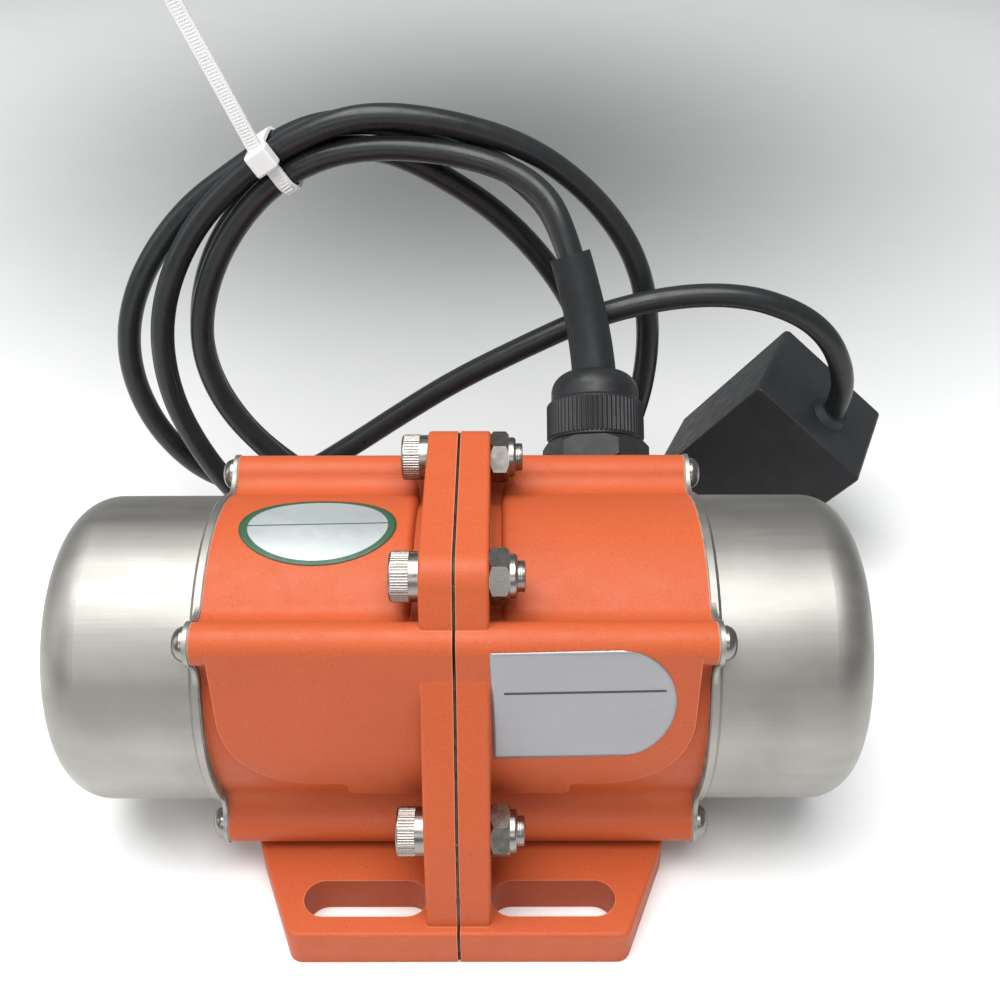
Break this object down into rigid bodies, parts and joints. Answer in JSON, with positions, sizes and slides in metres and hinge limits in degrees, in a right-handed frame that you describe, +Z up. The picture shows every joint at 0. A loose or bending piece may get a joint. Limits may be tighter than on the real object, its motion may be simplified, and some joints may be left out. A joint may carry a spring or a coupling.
{
  "type": "vibration motor",
  "caption": "Foot-mounted vibration motor: bolted cast housing halves, end caps over adjustable eccentric weights, cable gland, looped cables and a capacitor box.",
  "frame": {"origin": "centre of the foot slot pattern, on the plane the feet stand on, below the middle seam", "axes": "+X along the shaft towards the half with the cable gland, -Y to the front, +Z up"},
  "size_m": [0.2829, 0.2286, 0.2371],
  "materials": {
    "housing_paint": "satin orange paint on cast aluminium",
    "gasket": "dull",
    "cap_steel": "bare drawn steel",
    "fastener_steel": "stainless",
    "nylon": "natural nylon",
    "lamination_steel": "dull laminated steel",
    "winding": "varnished copper wire",
    "spring_steel": "phosphated",
    "bearing_steel": "ground",
    "cast_aluminium": "as cast",
    "weight_iron": "machined",
    "brass_cage": "machined",
    "seal_rubber": "dull",
    "black_nylon": "moulded",
    "cable_jacket": "smooth jacket",
    "black_plastic": "fine grained",
    "capacitor_can": "smooth"
  },
  "bodies": {
    "housing": {"left_housing": "housing_paint", "right_housing": "housing_paint", "housing_gasket": "gasket", "left_end_cap": "cap_steel", "right_end_cap": "cap_steel", "left_cap_gasket": "gasket", "right_cap_gasket": "gasket", "left_cap_screws": "fastener_steel", "right_cap_screws": "fastener_steel", "flange_bolts": "fastener_steel", "flange_nuts": "fastener_steel", "flange_nut_inserts": "nylon", "stator_core": "lamination_steel", "stator_windings": "winding", "housing_circlips": "spring_steel", "left_bearing_outer_ring": "bearing_steel", "right_bearing_outer_ring": "bearing_steel", "gland_washer": "seal_rubber", "gland_body": "black_nylon", "gland_seal": "seal_rubber", "gland_dome_nut": "black_nylon", "cable_sleeve": "seal_rubber", "power_cord": "cable_jacket", "capacitor_cord": "cable_jacket", "capacitor_box": "black_plastic", "capacitor_lid": "black_plastic", "capacitor": "capacitor_can", "cable_tie": "nylon"},
    "rotor": {"shaft": "bearing_steel", "rotor_core": "lamination_steel", "rotor_end_rings": "cast_aluminium", "weight_keys": "bearing_steel", "left_fixed_weight": "weight_iron", "right_fixed_weight": "weight_iron", "fixed_weight_bolts": "fastener_steel", "shaft_circlips": "spring_steel", "left_bearing_inner_ring": "bearing_steel", "right_bearing_inner_ring": "bearing_steel"},
    "left_adjustable": {"left_adjustable_weight": "weight_iron", "left_adjustable_weight_bolt": "fastener_steel"},
    "right_adjustable": {"right_adjustable_weight": "weight_iron", "right_adjustable_weight_bolt": "fastener_steel"},
    "left_cage": {"left_bearing_balls": "bearing_steel", "left_bearing_cage": "brass_cage"},
    "right_cage": {"right_bearing_balls": "bearing_steel", "right_bearing_cage": "brass_cage"}
  },
  "joints": [
    {"name": "rotor_spin", "type": "hinge", "parent": "housing", "child": "rotor", "pos_m": [0, 0, 0.0563], "axis": [1, 0, 0], "continuous": true},
    {"name": "left_weight_adjust", "type": "hinge", "parent": "rotor", "child": "left_adjustable", "pos_m": [-0.088, 0, 0.0563], "axis": [1, 0, 0], "range_deg": [0, 180]},
    {"name": "right_weight_adjust", "type": "hinge", "parent": "rotor", "child": "right_adjustable", "pos_m": [0.088, 0, 0.0563], "axis": [1, 0, 0], "range_deg": [0, 180]},
    {"name": "left_cage_spin", "type": "hinge", "parent": "housing", "child": "left_cage", "pos_m": [-0.052, 0, 0.0563], "axis": [1, 0, 0], "continuous": true},
    {"name": "right_cage_spin", "type": "hinge", "parent": "housing", "child": "right_cage", "pos_m": [0.052, 0, 0.0563], "axis": [1, 0, 0], "continuous": true}
  ],
  "couplings": [
    {"joint": "left_cage_spin", "follows": "rotor_spin", "ratio": 0.38158},
    {"joint": "right_cage_spin", "follows": "rotor_spin", "ratio": 0.38158}
  ]
}
